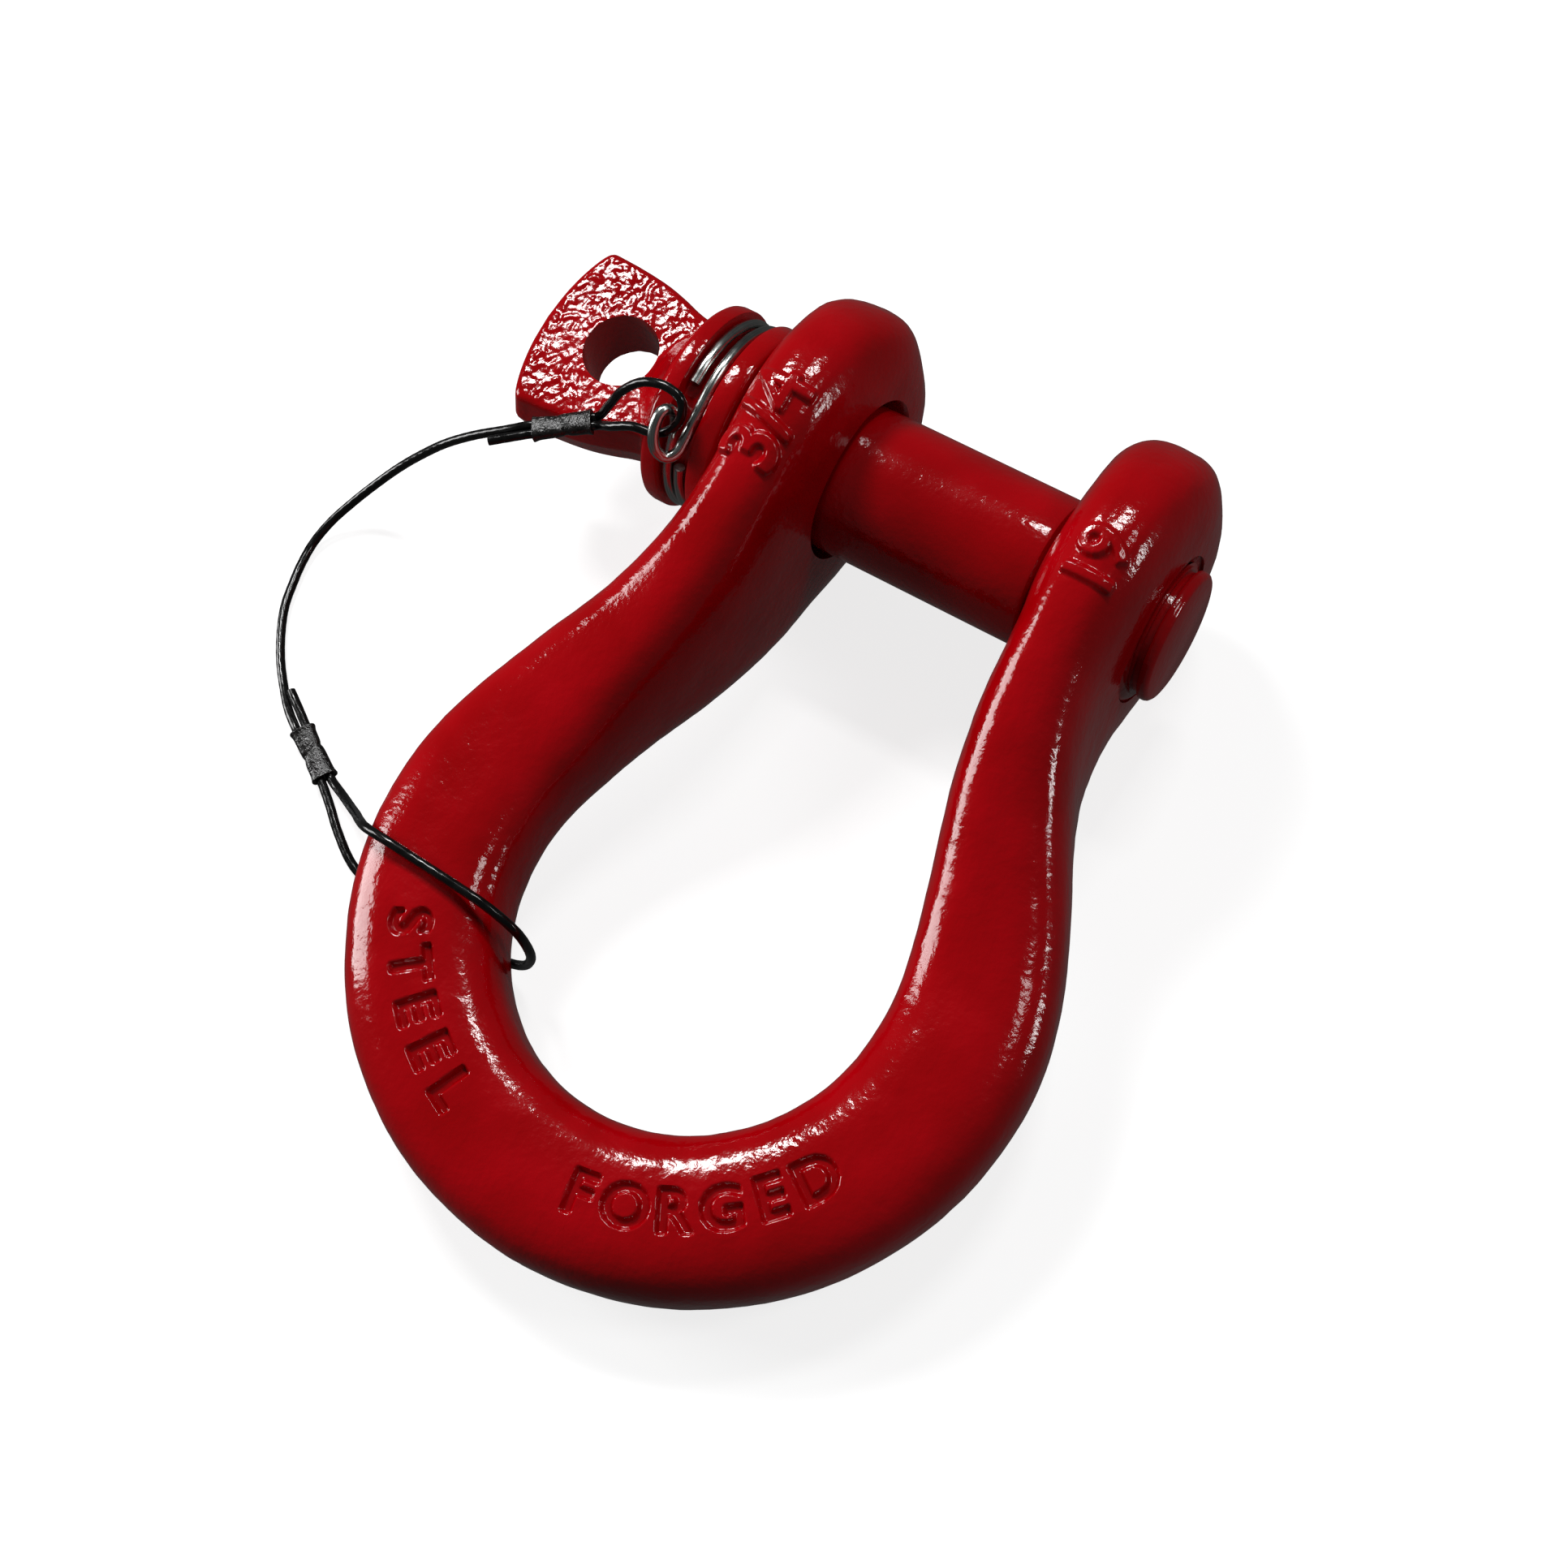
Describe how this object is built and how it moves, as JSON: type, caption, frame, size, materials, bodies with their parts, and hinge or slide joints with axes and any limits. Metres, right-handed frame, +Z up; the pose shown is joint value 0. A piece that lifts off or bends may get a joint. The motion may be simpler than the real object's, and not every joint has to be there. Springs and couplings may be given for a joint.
{
  "type": "bow shackle",
  "caption": "Screw-pin bow shackle whose pin is kept by a wire ring and a coated wire lanyard looped round the bow.",
  "frame": {"origin": "on the ground under the centre of the shackle's bounding box, lanyard left out; the shackle lies on both ear rims and the crown", "axes": "+X along the pin from its tab to its threaded end, +Y from the crown towards the pin, +Z up from the ground"},
  "size_m": [0.1425, 0.14, 0.0469],
  "materials": {
    "red_paint": "gloss powder coat",
    "wire_steel": "drawn wire",
    "black_coating": "thin gloss coating",
    "black_sleeve": "satin black"
  },
  "bodies": {
    "bow": {"bow": "red_paint", "lanyard_cable_lower": "black_coating", "ferrule_lower": "black_sleeve"},
    "ring": {"retaining_ring": "wire_steel", "lanyard_cable_upper": "black_coating", "ferrule_upper": "black_sleeve"},
    "pin": {"screw_pin": "red_paint"}
  },
  "joints": [
    {"name": "pin_travel", "type": "slide", "parent": "bow", "child": "ring", "axis": [-1, 0, 0], "range_m": [0, 0.0176]},
    {"name": "pin_turn", "type": "hinge", "parent": "ring", "child": "pin", "pos_m": [0, 0.0465, 0.0236], "axis": [-1, 0, 0], "range_deg": [0, 2520]}
  ],
  "couplings": [
    {"joint": "pin_travel", "follows": "pin_turn", "m_per_rad": 0.00039789}
  ]
}
